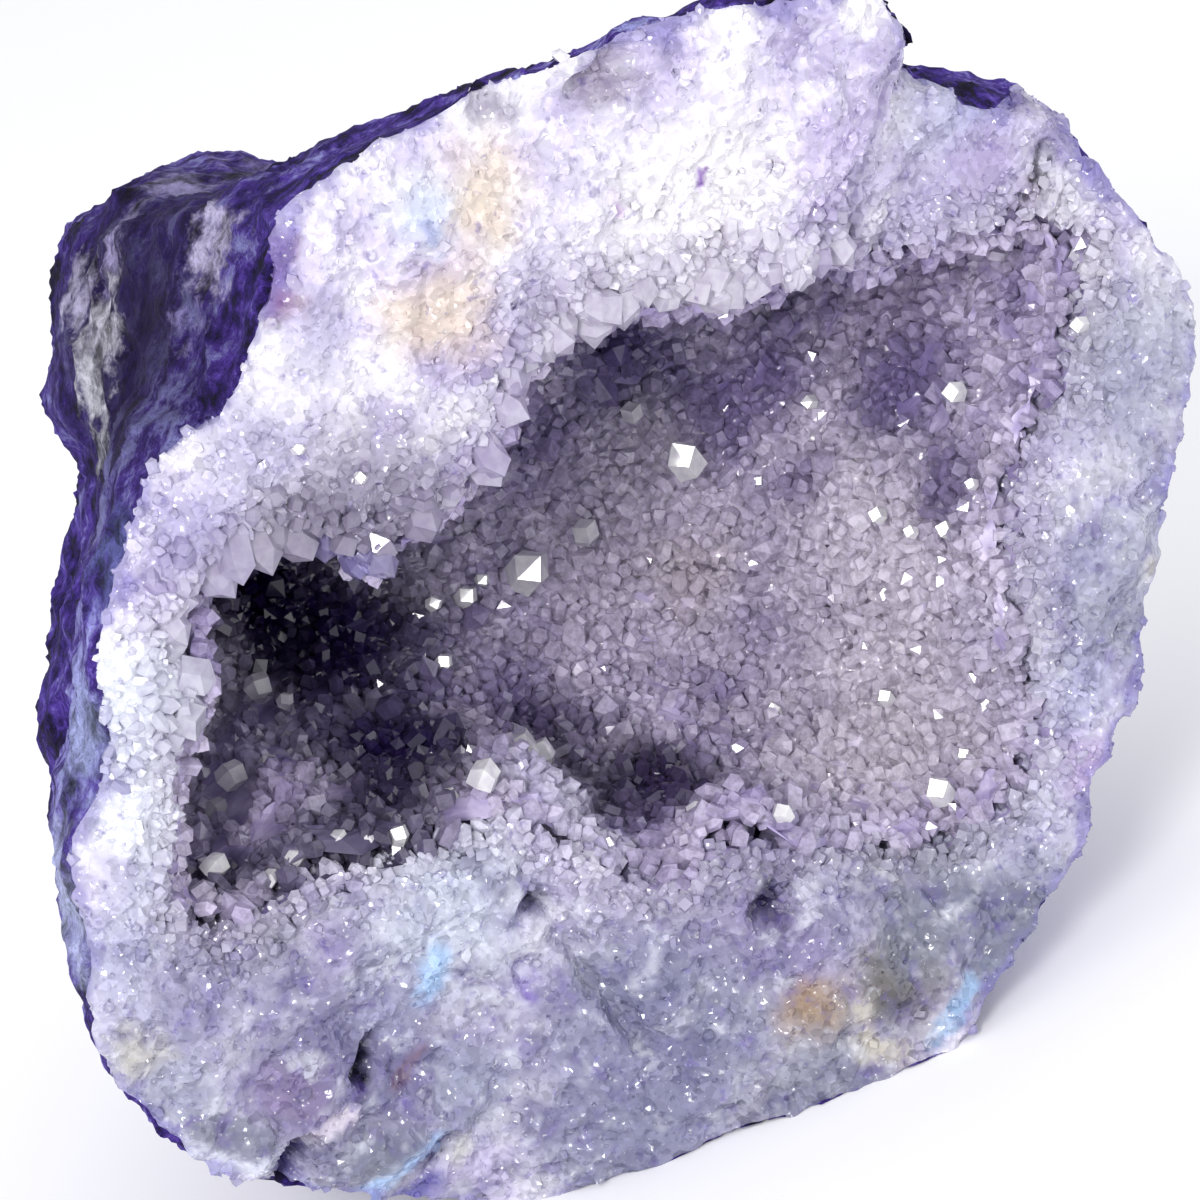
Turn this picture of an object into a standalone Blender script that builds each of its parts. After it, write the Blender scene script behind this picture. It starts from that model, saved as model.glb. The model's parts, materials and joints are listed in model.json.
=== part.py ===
"""Half of a quartz geode, standing on the flat of its lower edge with its hollow facing -Y.

Two pieces: the stone (rind and quartz wall, grown as one) and the crust of quartz crystals that lines the
hollow. +Z is up, the broken face looks towards -Y, and the origin is the middle of the flat that the stone
rests on. Sizes are in millimetres here, with Y counted from the face, and each finished mesh is moved to the
origin and is in metres.
"""

import math
import random

import bmesh
import bpy
from mathutils import Vector, geometry, noise

MM = 0.001
REST_MIDDLE = Vector((0.0, 15.0, 0.0))

# Stations round the broken face, clockwise as seen from the front, starting at its left shoulder. Each has a
# point on the outer edge of the face, one on the line of the crystal tips across from it, and one on the
# stone's widest section, which lies WAIST_DEPTH behind the face and has no Y of its own.
WAIST_DEPTH = 20.0
STATIONS = (
    # left shoulder, where the back of the stone swells out behind the face
    ((-26.7, 0.0, 48.4), (-20.4, 0.0, 44.8), (-20.8, 46.4)),
    ((-21.5, 0.0, 54.0), (-18.3, 0.0, 45.2), (-20.6, 50.6)),
    ((-18.6, -1.0, 55.0), (-15.4, 0.0, 43.8), (-19.8, 54.4)),
    ((-16.2, -3.0, 58.4), (-13.8, -0.5, 41.6), (-18.8, 57.4)),
    # thick upper block, which stands forward of the rest
    ((-14.0, -4.0, 62.4), (-11.6, -1.0, 41.4), (-17.0, 60.4)),
    ((-12.4, -4.0, 65.2), (-9.6, -1.0, 42.6), (-14.6, 61.6)),
    ((-9.4, -4.0, 65.8), (-6.8, -1.0, 43.0), (-10.4, 61.4)),
    ((-5.2, -4.0, 67.0), (-4.4, -1.0, 44.6), (-5.6, 60.4)),
    ((0.6, -4.0, 67.2), (-1.9, -1.0, 46.4), (-0.6, 58.8)),
    ((6.0, -4.0, 66.8), (-0.2, -1.0, 48.6), (4.2, 58.4)),
    ((11.6, -4.0, 67.0), (3.4, -1.0, 50.4), (8.8, 58.0)),
    ((17.0, -4.0, 66.3), (8.6, -1.0, 49.4), (13.0, 57.6)),
    ((21.8, -4.0, 64.6), (13.6, -1.0, 47.8), (17.4, 56.8)),
    ((25.6, -3.5, 63.0), (17.0, -0.5, 47.0), (21.2, 55.6)),
    ((27.2, -2.0, 59.6), (19.6, 0.5, 47.8), (24.6, 54.8)),
    # beyond a ledge the face lies deeper along the upper right
    ((28.8, 2.5, 54.8), (23.0, 3.5, 45.0), (28.0, 54.4)),
    ((33.4, 4.0, 51.8), (29.6, 4.5, 43.6), (32.4, 52.0)),
    ((37.0, 4.0, 49.4), (35.0, 4.5, 43.2), (37.8, 49.4)),
    ((39.4, 3.0, 45.2), (35.4, 3.0, 40.6), (40.2, 44.8)),
    # right side
    ((41.2, 2.0, 40.6), (31.4, 1.0, 35.4), (39.8, 38.6)),
    ((42.2, 1.0, 35.4), (27.2, 1.0, 31.4), (39.2, 33.0)),
    ((39.8, 0.0, 30.8), (25.4, 0.5, 27.6), (37.4, 27.6)),
    ((36.8, 0.0, 25.4), (24.6, 0.5, 23.6), (35.0, 22.6)),
    ((34.0, 0.0, 20.4), (24.7, 0.5, 18.8), (31.0, 17.6)),
    ((32.0, 0.0, 15.6), (23.6, 0.5, 14.4), (28.2, 13.0)),
    ((28.6, 0.0, 12.2), (20.8, 0.5, 12.2), (25.0, 9.2)),
    ((25.8, -1.0, 8.6), (17.2, 0.5, 11.8), (22.0, 6.0)),
    # lower edge, which dips below the resting plane and is cut flat there
    ((22.4, -2.0, 5.8), (12.8, 0.5, 13.4), (18.8, 3.0)),
    ((18.6, -3.0, 3.6), (8.0, 0.5, 15.8), (15.0, 0.0)),
    ((13.6, -3.0, 0.8), (3.6, 0.5, 18.4), (10.4, -3.4)),
    ((7.6, -2.8, -2.6), (-0.8, 0.5, 17.8), (4.6, -5.0)),
    ((-1.6, -0.6, -4.0), (-4.0, 0.5, 21.0), (-1.4, -5.0)),
    ((-10.0, 2.0, -2.8), (-8.6, 0.5, 26.0), (-7.4, -4.4)),
    ((-16.2, 4.0, 0.6), (-14.0, 0.5, 26.2), (-13.0, -2.0)),
    ((-22.0, 3.0, 4.4), (-19.0, 0.5, 27.4), (-18.6, 3.0)),
    ((-27.8, 2.0, 8.6), (-22.8, 0.5, 27.4), (-23.6, 8.6)),
    # lower left corner and the left side
    ((-32.4, 1.0, 12.4), (-26.6, 0.5, 26.8), (-26.8, 14.4)),
    ((-35.2, 0.5, 17.6), (-28.0, 0.5, 28.4), (-28.4, 20.0)),
    ((-36.4, 0.0, 24.0), (-27.0, 0.5, 31.8), (-29.0, 25.6)),
    ((-34.4, 0.0, 30.0), (-25.8, 0.5, 35.4), (-28.2, 31.0)),
    ((-34.0, 0.0, 34.4), (-23.8, 0.0, 38.0), (-26.4, 35.0)),
    ((-30.2, 0.0, 38.4), (-22.4, 0.0, 40.2), (-24.0, 38.8)),
    ((-29.4, 0.0, 43.4), (-22.6, 0.0, 43.0), (-22.0, 42.8)),
)
SIDES = 88  # facets round the face's outer edge and round its mouth
RIND_FACET, FACE_FACET, WALL_FACET = 2.6, 1.9, 2.8  # sizes of the facets
SCATTER_TRIES = 16000
CELLS_AROUND = [(a, b, c) for a in (-1, 0, 1) for b in (-1, 0, 1) for c in (-1, 0, 1)]

# The back of the stone: where it ends and how boxy it is.
WAIST_SHARE = 0.42  # how much of the way back along the rind its widest section is
BACK_END = Vector((2.0, 43.0, 33.0))
BACK_POWER = 2.2
# places where the rind stands out just behind the face: direction in degrees (0 is +X, 90 up), reach, height
SHOULDERS = (
    (165.0, 24.0, 1.3),
    (28.0, 20.0, 1.8),
)
LUMP_SIZE, LUMP_HEIGHT = 9.0, 1.5
KNOB_SIZE, KNOB_HEIGHT = 4.2, 0.7

# How rough the broken face is.
FACE_CROWN = 0.9
FACE_ROUGHNESS, FACE_GRAIN = 0.9, 4.2

# The hollow behind the face.
HOLLOW_END = Vector((5.0, 30.0, 32.0))
HOLLOW_POWER = 2.2
HOLLOW_SWELL = 0.05  # the hollow is this much wider just behind its mouth

# The crust of crystals on the hollow's wall.
CRUST_GAP = 0.35
CRUST_ROOT = 1.1
CRYSTAL_SPACING = 2.5
CRYSTAL_HEIGHTS = (0.9, 2.6)
CRYSTAL_LEAN = 0.5
MOUTH_INSET = 1.5  # the crystal tips reach the mouth's outline, so the wall stands back by this
MOUTH_CRYSTALS = 58
MOUTH_DEPTH = 0.03  # where the mouth's row of crystals stands, as a share of the hollow
MOUTH_LEAN = 1.3  # how far its tips lean out towards the face
MOUTH_CLEAR = 0.085  # the other crystals start this deep

STONE_COLOUR = (0.36, 0.30, 0.58, 1.0)
CRYSTAL_COLOUR = (0.72, 0.68, 0.84, 1.0)


def clear_scene():
    for obj in list(bpy.data.objects):
        bpy.data.objects.remove(obj)


def smooth_loop(points, share):
    """A point on the closed smooth curve through the points, at a share 0 to 1 of the way round."""
    count = len(points)
    place = (share % 1.0) * count
    index = int(place)
    t = place - index
    before, start, end, after = (points[(index + k) % count] for k in (-1, 0, 1, 2))
    return 0.5 * (
        2 * start
        + (end - before) * t
        + (2 * before - 5 * start + 4 * end - after) * t * t
        + (3 * start - before - 3 * end + after) * t * t * t
    )


OUTER_EDGE = [Vector(outer) for outer, _, _ in STATIONS]
TIP_EDGE = [Vector(tip) for _, tip, _ in STATIONS]
WAIST = [Vector((x, WAIST_DEPTH, z)) for _, _, (x, z) in STATIONS]


def mouth_edge(share):
    """The edge of the hollow in the stone, which stands back from the line of the crystal tips."""
    here = smooth_loop(TIP_EDGE, share)
    ahead = smooth_loop(TIP_EDGE, share + 0.012) - smooth_loop(TIP_EDGE, share - 0.012)
    outward = Vector((-ahead.z, 0.0, ahead.x)).normalized()
    return here + outward * MOUTH_INSET


def shoulder_height(direction):
    height = 0.0
    for middle, reach, full in SHOULDERS:
        apart = abs((direction - middle + 180.0) % 360.0 - 180.0)
        height += full * math.exp(-((apart / reach) ** 2))
    return height


def lumpy(point):
    """How far the rind stands out here: broad lumps with small knobs on them."""
    broad = abs(noise.noise(point / LUMP_SIZE))
    small = abs(noise.noise(point / KNOB_SIZE + Vector((7.0, 3.0, 1.0))))
    return LUMP_HEIGHT * (broad * 2.0 - 0.5) + KNOB_HEIGHT * (small * 2.0 - 0.5)


def rind_point(share, back):
    """A point of the rind; back is 0 at the face, WAIST_SHARE at the widest section and 1 at the end."""
    waist = smooth_loop(WAIST, share)
    out_from_end = Vector((waist.x - BACK_END.x, 0.0, waist.z - BACK_END.z))
    outward = out_from_end.normalized()
    if back < WAIST_SHARE:
        edge = smooth_loop(OUTER_EDGE, share)
        back /= WAIST_SHARE
        point = edge.lerp(waist, back * back * (3 - 2 * back))
        point.y = edge.y + (WAIST_DEPTH - edge.y) * back
        direction = math.degrees(math.atan2(out_from_end.z, out_from_end.x))
        shoulder = shoulder_height(direction) * math.sin(math.pi * back**0.6)
        return point + outward * (shoulder + lumpy(point) * (0.3 + 0.7 * back**0.5))
    turn = (back - WAIST_SHARE) / (1 - WAIST_SHARE) * math.pi / 2
    out = max(0.0, math.cos(turn)) ** (2 / BACK_POWER)
    deep = math.sin(turn) ** (2 / BACK_POWER)
    point = Vector((BACK_END.x, 0.0, BACK_END.z)) + out_from_end * out
    point.y = WAIST_DEPTH + (BACK_END.y - WAIST_DEPTH) * deep
    outward = outward * math.cos(turn) + Vector((0.0, math.sin(turn), 0.0))
    return point + outward * lumpy(point)


def face_point(share, across):
    """A point of the broken face; across is 0 at its outer edge and 1 at the hollow."""
    point = rind_point(share, 0).lerp(mouth_edge(share), across)
    middle = math.sin(across * math.pi)
    rough = noise.fractal(point / FACE_GRAIN, 0.8, 2.1, 3)
    ledge = 0.7 * math.tanh(3.0 * noise.noise(point / 9.0 + Vector((2.0, 5.0, 4.0))))
    point.y -= middle * (FACE_CROWN + ledge) + min(1.0, 4 * middle) * FACE_ROUGHNESS * rough
    return point


def hollow_point(share, deep):
    """A point of the hollow's wall; deep is 0 at the mouth and 1 at its end."""
    edge = mouth_edge(share)
    across = edge - HOLLOW_END
    across.y = 0.0
    turn = deep * math.pi / 2
    out = math.cos(turn) ** (2 / HOLLOW_POWER) if deep < 1 else 0.0
    out *= 1.0 + HOLLOW_SWELL * math.sin(2 * turn)
    point = HOLLOW_END + across * out
    point.y = edge.y + (HOLLOW_END.y - edge.y) * math.sin(turn) ** (2 / HOLLOW_POWER)
    return point


def hollow_inward(share, deep):
    """The direction from the hollow's wall into the hollow."""
    step = 0.004
    deep = min(deep, 0.985)
    along = hollow_point(share + step, deep) - hollow_point(share - step, deep)
    down = hollow_point(share, deep + step) - hollow_point(share, max(0.0, deep - step))
    normal = along.cross(down).normalized()
    towards_axis = HOLLOW_END - hollow_point(share, deep)
    towards_axis.y = 0.0
    if deep > 0.9:
        towards_axis = Vector((0.0, -1.0, 0.0))
    return normal if normal.dot(towards_axis) > 0 else -normal


def offset_wall(share, deep, inset):
    return hollow_point(share, deep) + hollow_inward(share, deep) * inset


def crust_back(share, deep):
    return offset_wall(share, deep, CRUST_GAP)


def ring_of(mesh, point_of):
    """A closed ring of vertices, one for each facet round the stone."""
    return [mesh.verts.new(point_of(i / SIDES, 0.0) * MM) for i in range(SIDES)]


def flat_place(share, deep):
    """Where a spot lies on a round map of its surface: the rim is the circle, the closed end the middle."""
    angle = share * 2 * math.pi
    return Vector((math.cos(angle), math.sin(angle))) * (1.0 - deep)


def scatter(point_of, spacing, depths, dice):
    """Spots spread over a surface, no two nearer than the spacing, each as a share round and a depth."""
    spots, places_by_cell = [], {}
    for _ in range(SCATTER_TRIES):
        spot = (dice.random(), dice.uniform(*depths))
        place = point_of(*spot)
        cell = tuple(int(value // spacing) for value in place)
        near = []
        for step in CELLS_AROUND:
            near += places_by_cell.get(tuple(a + b for a, b in zip(cell, step)), [])
        if all((place - other).length > spacing for other in near):
            spots.append(spot)
            places_by_cell.setdefault(cell, []).append(place)
    return spots


def triangles_inside(flat, has_hole):
    """Triangles between flat points, within the loop of the first ones and outside a second loop."""
    loops = [list(range(SIDES))]
    if has_hole:
        loops.append(list(range(SIDES, 2 * SIDES)))
    result = geometry.delaunay_2d_cdt(flat, [], loops, 1, 1e-9)
    triangles, sources, within = result[2], result[3], result[5]
    return [[sources[i][0] for i in t] for t, loop_ids in zip(triangles, within) if 1 not in loop_ids]


def dome_map(spots):
    return [flat_place(i / SIDES, 0.0) for i in range(SIDES)] + [flat_place(*spot) for spot in spots]


def dome_skin(mesh, point_of, rim, spots):
    """Even triangles over a surface from its rim to its closed end."""
    corners = rim + [mesh.verts.new(point_of(*spot) * MM) for spot in spots]
    for triangle in triangles_inside(dome_map(spots), False):
        mesh.faces.new([corners[i] for i in triangle])


def face_skin(mesh, outer_rim, mouth_rim, spots):
    """Even triangles over the broken face, with the mouth left open."""
    corners = outer_rim + mouth_rim + [mesh.verts.new(face_point(*spot) * MM) for spot in spots]
    seen_from_behind = [Vector((-corner.co.x, corner.co.z)) / MM for corner in corners]
    for triangle in triangles_inside(seen_from_behind, True):
        mesh.faces.new([corners[i] for i in triangle])


def object_from(mesh, name, colour, roughness):
    data = bpy.data.meshes.new(name)
    bmesh.ops.translate(mesh, verts=mesh.verts, vec=-REST_MIDDLE * MM)
    bmesh.ops.triangulate(mesh, faces=mesh.faces)
    bmesh.ops.recalc_face_normals(mesh, faces=mesh.faces)
    mesh.to_mesh(data)
    mesh.free()
    finish = bpy.data.materials.new(name)
    finish.use_nodes = True
    surface = finish.node_tree.nodes["Principled BSDF"]
    surface.inputs["Base Color"].default_value = colour
    surface.inputs["Roughness"].default_value = roughness
    surface.inputs["Metallic"].default_value = 0.0
    data.materials.append(finish)
    obj = bpy.data.objects.new(name, data)
    bpy.context.scene.collection.objects.link(obj)


def rest_flat(mesh):
    """Cuts the stone at the resting plane and closes the cut with one flat face."""
    parts = list(mesh.verts) + list(mesh.edges) + list(mesh.faces)
    bmesh.ops.bisect_plane(
        mesh, geom=parts, dist=1e-6, plane_co=(0, 0, 0), plane_no=(0, 0, 1), clear_inner=True
    )
    open_edges = [edge for edge in mesh.edges if edge.is_boundary]
    for edge in open_edges:
        for vert in edge.verts:
            vert.co.z = 0.0
    bmesh.ops.holes_fill(mesh, edges=open_edges, sides=0)


def build_stone(dice, hollow_spots):
    mesh = bmesh.new()
    outer_rim = ring_of(mesh, rind_point)
    mouth_rim = ring_of(mesh, hollow_point)
    rind_spots = scatter(rind_point, RIND_FACET, (0.05, 0.99), dice)
    face_spots = scatter(face_point, FACE_FACET, (0.08, 0.93), dice)
    dome_skin(mesh, rind_point, outer_rim, rind_spots)
    face_skin(mesh, outer_rim, mouth_rim, face_spots)
    dome_skin(mesh, hollow_point, mouth_rim, hollow_spots)
    rest_flat(mesh)
    object_from(mesh, "stone", STONE_COLOUR, 0.75)


def wall_place(flat):
    """The share round and the depth of a spot on the round map."""
    share = math.atan2(flat.y, flat.x) / (2 * math.pi)
    return share % 1.0, 1.0 - min(1.0, flat.length)


def build_crust(dice, hollow_spots):
    """One closed crust: pyramids packed side by side in front, and the wall's own shape behind."""
    mesh = bmesh.new()
    rim = ring_of(mesh, crust_back)
    dome_skin(mesh, crust_back, rim, hollow_spots)

    tips = [((i + 0.5) / MOUTH_CRYSTALS, MOUTH_DEPTH) for i in range(MOUTH_CRYSTALS)]
    tips += scatter(hollow_point, CRYSTAL_SPACING, (MOUTH_CLEAR, 0.97), dice)
    corners = list(rim)
    for number, (share, deep) in enumerate(tips):
        height = CRUST_ROOT + dice.uniform(*CRYSTAL_HEIGHTS)
        tip = offset_wall(share, deep, height)
        tip += Vector([dice.uniform(-CRYSTAL_LEAN, CRYSTAL_LEAN) for _ in range(3)])
        if number < MOUTH_CRYSTALS:
            tip.y -= MOUTH_LEAN
        corners.append(mesh.verts.new(tip * MM))

    flat = dome_map(tips)
    valley_by_edge = {}
    for triangle in triangles_inside(flat, False):
        middle = sum((flat[i] for i in triangle), Vector((0.0, 0.0))) / 3
        valley = mesh.verts.new(offset_wall(*wall_place(middle), CRUST_ROOT) * MM)
        for a, b in zip(triangle, triangle[1:] + triangle[:1]):
            valley_by_edge[a, b] = valley
    for (a, b), valley in valley_by_edge.items():
        across = valley_by_edge.get((b, a))
        if across is None:
            mesh.faces.new((corners[a], corners[b], valley))
        elif a < b:
            mesh.faces.new((corners[a], across, valley))
            mesh.faces.new((corners[b], valley, across))
    object_from(mesh, "crystal_crust", CRYSTAL_COLOUR, 0.15)


clear_scene()
seeded = random.Random(11)
wall_spots = scatter(hollow_point, WALL_FACET, (0.06, 0.98), seeded)
build_stone(seeded, wall_spots)
build_crust(seeded, wall_spots)
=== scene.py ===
import json
import math

import bmesh
import bpy
import numpy
from mathutils import Matrix, Quaternion, Vector
from mathutils.kdtree import KDTree

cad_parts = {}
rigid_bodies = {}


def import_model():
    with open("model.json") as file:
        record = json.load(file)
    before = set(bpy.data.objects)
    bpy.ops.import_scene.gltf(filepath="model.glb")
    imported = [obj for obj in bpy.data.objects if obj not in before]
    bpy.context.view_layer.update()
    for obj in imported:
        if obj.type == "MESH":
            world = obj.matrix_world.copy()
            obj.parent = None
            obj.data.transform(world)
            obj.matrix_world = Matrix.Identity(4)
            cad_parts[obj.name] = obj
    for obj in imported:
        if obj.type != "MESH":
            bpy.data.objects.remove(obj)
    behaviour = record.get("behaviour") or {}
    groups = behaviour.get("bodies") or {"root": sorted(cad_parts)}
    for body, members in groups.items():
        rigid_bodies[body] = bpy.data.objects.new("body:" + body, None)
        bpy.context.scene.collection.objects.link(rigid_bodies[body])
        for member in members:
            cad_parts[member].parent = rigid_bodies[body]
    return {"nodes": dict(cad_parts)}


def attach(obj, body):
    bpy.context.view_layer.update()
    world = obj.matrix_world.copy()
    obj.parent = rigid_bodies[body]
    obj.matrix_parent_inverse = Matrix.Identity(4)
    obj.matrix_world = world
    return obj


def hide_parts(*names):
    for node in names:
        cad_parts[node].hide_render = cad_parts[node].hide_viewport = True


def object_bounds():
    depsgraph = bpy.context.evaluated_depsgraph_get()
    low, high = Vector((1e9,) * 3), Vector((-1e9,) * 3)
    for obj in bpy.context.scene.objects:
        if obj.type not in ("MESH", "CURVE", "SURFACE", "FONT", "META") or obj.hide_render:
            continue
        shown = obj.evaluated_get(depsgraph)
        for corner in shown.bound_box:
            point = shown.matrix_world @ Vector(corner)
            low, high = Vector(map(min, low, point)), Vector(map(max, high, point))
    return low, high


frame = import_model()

MM = 0.001
cad_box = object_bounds()

# VIEW AND LIGHT
# The camera is close, a little to the left of the hollow and above it, and is held tilted. A soft key comes
# from the upper left in front, and a white studio fills in everything else.
azimuth, elevation, tilt = (math.radians(angle) for angle in (-20.0, 22.0, 16.5))
looked_at = Vector((0.0, -15.0, 35.0)) * MM
distance = 280.0 * MM
backwards = Vector(
    (
        math.sin(azimuth) * math.cos(elevation),
        -math.cos(azimuth) * math.cos(elevation),
        math.sin(elevation),
    )
)
level_right = Vector((math.cos(azimuth), math.sin(azimuth), 0.0))
level_up = backwards.cross(level_right)
right = level_right * math.cos(tilt) - level_up * math.sin(tilt)
up = level_right * math.sin(tilt) + level_up * math.cos(tilt)
bpy.ops.object.camera_add()
camera = bpy.context.object
camera.name = "camera"
camera.matrix_world = Matrix.Translation(looked_at + backwards * distance) @ Matrix(
    (right, up, backwards)
).transposed().to_4x4()
camera.data.sensor_width = 36.0
camera.data.lens = 147.0
camera.data.clip_start = 0.01
bpy.context.scene.camera = camera


def soft_light(name, place, size, watts, tint):
    """A square softbox that faces the geode."""
    bpy.ops.object.light_add(type="AREA", location=place)
    light = bpy.context.object
    light.name = name
    light.data.shape = "SQUARE"
    light.data.size = size
    light.data.energy = watts
    light.data.color = tint
    light.rotation_euler = (looked_at - light.location).to_track_quat("-Z", "Y").to_euler()


key_place = Vector((-0.27, -0.36, 0.27))
soft_light("key_softbox", key_place, size=0.12, watts=1.45, tint=(1.0, 0.99, 0.98))
soft_light("fill_softbox", (0.34, -0.30, 0.20), size=0.30, watts=0.3, tint=(0.96, 0.98, 1.0))

world = bpy.data.worlds.new("studio")
world.use_nodes = True
world.node_tree.nodes["Background"].inputs["Color"].default_value = (0.97, 0.975, 1.0, 1.0)
world.node_tree.nodes["Background"].inputs["Strength"].default_value = 0.93
bpy.context.scene.world = world
bpy.context.scene.view_settings.view_transform = "Standard"

# FLOOR
# A sheet of matt white card, larger than the picture on every side.


def linear(hex_colour):
    """An sRGB hex colour as linear red, green, blue and alpha."""
    channels = [int(hex_colour[i:i + 2], 16) / 255 for i in (1, 3, 5)]
    return tuple(c / 12.92 if c <= 0.04045 else ((c + 0.055) / 1.055) ** 2.4 for c in channels) + (1.0,)


def fill_in(tree, node, inputs):
    """Sets inputs of a node. Each is a value, or a pair of another node and the name of its output."""
    for name, value in inputs.items():
        if isinstance(value, tuple) and isinstance(value[0], bpy.types.Node):
            tree.links.new(value[0].outputs[value[1]], node.inputs[name])
        else:
            node.inputs[name].default_value = value


def add_node(tree, kind, inputs=None, **settings):
    """Adds a node with its settings and inputs."""
    made = tree.nodes.new(kind)
    for name, value in settings.items():
        setattr(made, name, value)
    fill_in(tree, made, inputs or {})
    return made


def new_material(name):
    """A material, its node tree, the shader in it, and the place on the object."""
    material = bpy.data.materials.new(name)
    material.use_nodes = True
    tree = material.node_tree
    return material, tree, tree.nodes["Principled BSDF"], (add_node(tree, "ShaderNodeTexCoord"), "Object")


# Matt white card: a fine tooth, and no shine.
white_card, tree, shader, here = new_material("white_card")
tooth = add_node(tree, "ShaderNodeTexNoise", {"Vector": here, "Scale": 1000 / 0.8})
bump = add_node(tree, "ShaderNodeBump", {"Height": (tooth, "Fac"), "Strength": 0.1, "Distance": 0.02 * MM})
card_look = {"Base Color": linear("#fdfdff"), "Roughness": 0.9, "Specular IOR Level": 0.1}
fill_in(tree, shader, {"Normal": (bump, "Normal"), **card_look})
bpy.ops.mesh.primitive_plane_add(size=6.0)
floor = bpy.context.object
floor.name = "floor"
floor.data.materials.append(white_card)

# STONE
# One piece of chalcedony and quartz. Its outside is a thin wrinkled rind soaked with violet dye, and the broken
# face shows sugary quartz, milky outside and clearer towards the hollow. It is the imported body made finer.


def select_only(pieces):
    """Selects these pieces and no others, and makes the first one active."""
    bpy.ops.object.select_all(action="DESELECT")
    for piece in pieces:
        piece.select_set(True)
    bpy.context.view_layer.objects.active = pieces[0]


def copy_mesh(mesh, name):
    """A new object with a copy of a mesh, selected alone."""
    made = bpy.data.objects.new(name, mesh.copy())
    bpy.context.scene.collection.objects.link(made)
    select_only([made])
    return made


def merged_copy(node, name):
    """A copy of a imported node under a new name, with its loose triangles joined up."""
    made = copy_mesh(frame["nodes"][node].data, name)
    made.data.materials.clear()
    bpy.ops.object.mode_set(mode="EDIT")
    bpy.ops.mesh.select_all(action="SELECT")
    bpy.ops.mesh.remove_doubles(threshold=0.001 * MM)
    bpy.ops.mesh.customdata_custom_splitnormals_clear()
    bpy.ops.object.mode_set(mode="OBJECT")
    return made


def select_faces(wanted):
    """Selects the faces of the mesh in edit mode that the test is true for, and no others."""
    edit = bmesh.from_edit_mesh(bpy.context.object.data)
    bpy.ops.mesh.select_mode(type="FACE")
    bpy.ops.mesh.select_all(action="DESELECT")
    for face in edit.faces:
        face.select = wanted(face)
    edit.select_flush_mode()
    bmesh.update_edit_mesh(bpy.context.object.data)


RIND, QUARTZ, WALL, REST = range(4)
middle_of_stone = Vector((3.0, 0.0, 33.0)) * MM
FACE_STARTS = -9.5 * MM


def looks_forward(face):
    return face.normal.y < -0.45 and face.calc_center_median().y < FACE_STARTS


def looks_inward(face):
    return face.normal.dot(face.calc_center_median() - middle_of_stone) < 0.0


def lies_on_ground(face):
    return all(vert.co.z < 0.01 * MM for vert in face.verts)


def of_kind(*kinds):
    return lambda face: face.material_index in kinds


stone = merged_copy("stone", "geode_stone")
bpy.ops.object.mode_set(mode="EDIT")
select_faces(looks_forward)
for close_gaps in (bpy.ops.mesh.select_more, bpy.ops.mesh.select_less):
    close_gaps()
    close_gaps()
edit = bmesh.from_edit_mesh(stone.data)
for face in edit.faces:
    if lies_on_ground(face):
        face.material_index = REST
    elif face.select:
        face.material_index = QUARTZ
    elif looks_inward(face):
        face.material_index = WALL
    else:
        face.material_index = RIND
bmesh.update_edit_mesh(stone.data)

# What shows gets facets of 0.3 to 0.5 mm, rounded off a little.
select_faces(of_kind(RIND, QUARTZ))
bpy.ops.mesh.subdivide(number_cuts=3)
select_faces(of_kind(RIND, QUARTZ))
bpy.ops.mesh.select_less()
bpy.ops.mesh.vertices_smooth(factor=0.5, repeat=3)
select_faces(of_kind(RIND, QUARTZ))
bpy.ops.mesh.subdivide(number_cuts=1)
for index, name in ((RIND, "rind"), (QUARTZ, "quartz")):
    select_faces(of_kind(index))
    bpy.ops.object.vertex_group_assign_new()
    stone.vertex_groups.active.name = name
select_faces(of_kind(QUARTZ))
bpy.ops.mesh.faces_shade_flat()
select_faces(of_kind(RIND))
bpy.ops.mesh.faces_shade_smooth()
bpy.ops.object.mode_set(mode="OBJECT")

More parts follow.
